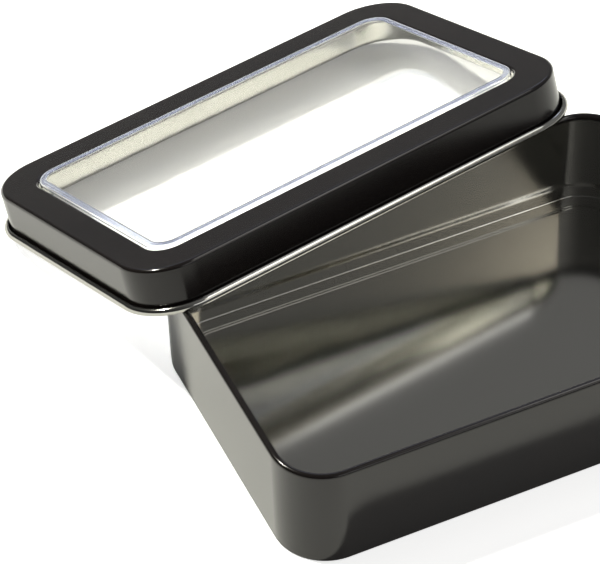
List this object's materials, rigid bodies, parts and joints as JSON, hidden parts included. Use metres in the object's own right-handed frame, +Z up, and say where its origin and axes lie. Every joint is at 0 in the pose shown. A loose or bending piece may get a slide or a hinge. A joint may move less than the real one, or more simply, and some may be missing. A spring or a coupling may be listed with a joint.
{
  "type": "card game tin",
  "caption": "Drawn tinplate box for playing cards with a slip-on window lid, shown open with the lid leaning on its rim.",
  "frame": {"origin": "middle of the base's foot, on the table", "axes": "+X along the base's long side, +Y from the base's front towards the leaning lid, +Z up"},
  "size_m": [0.1285, 0.1452, 0.0357],
  "materials": {
    "base_lacquer": "satin black lacquer outside, bare tinplate inside",
    "lid_lacquer": "satin black lacquer outside, bare tinplate inside and on the rolled edge",
    "clear_sheet": "clear thermoformed plastic sheet, glossy",
    "adhesive": "pale translucent hot-melt adhesive"
  },
  "bodies": {
    "base": {"base_shell": "base_lacquer"},
    "lid": {"lid_shell": "lid_lacquer", "window_pane": "clear_sheet", "pane_adhesive": "adhesive"}
  },
  "joints": [
    {"name": "lid_lift", "type": "slide", "parent": "base", "child": "lid", "axis": [0, 0, 1], "range_m": [0, 0.06]}
  ]
}
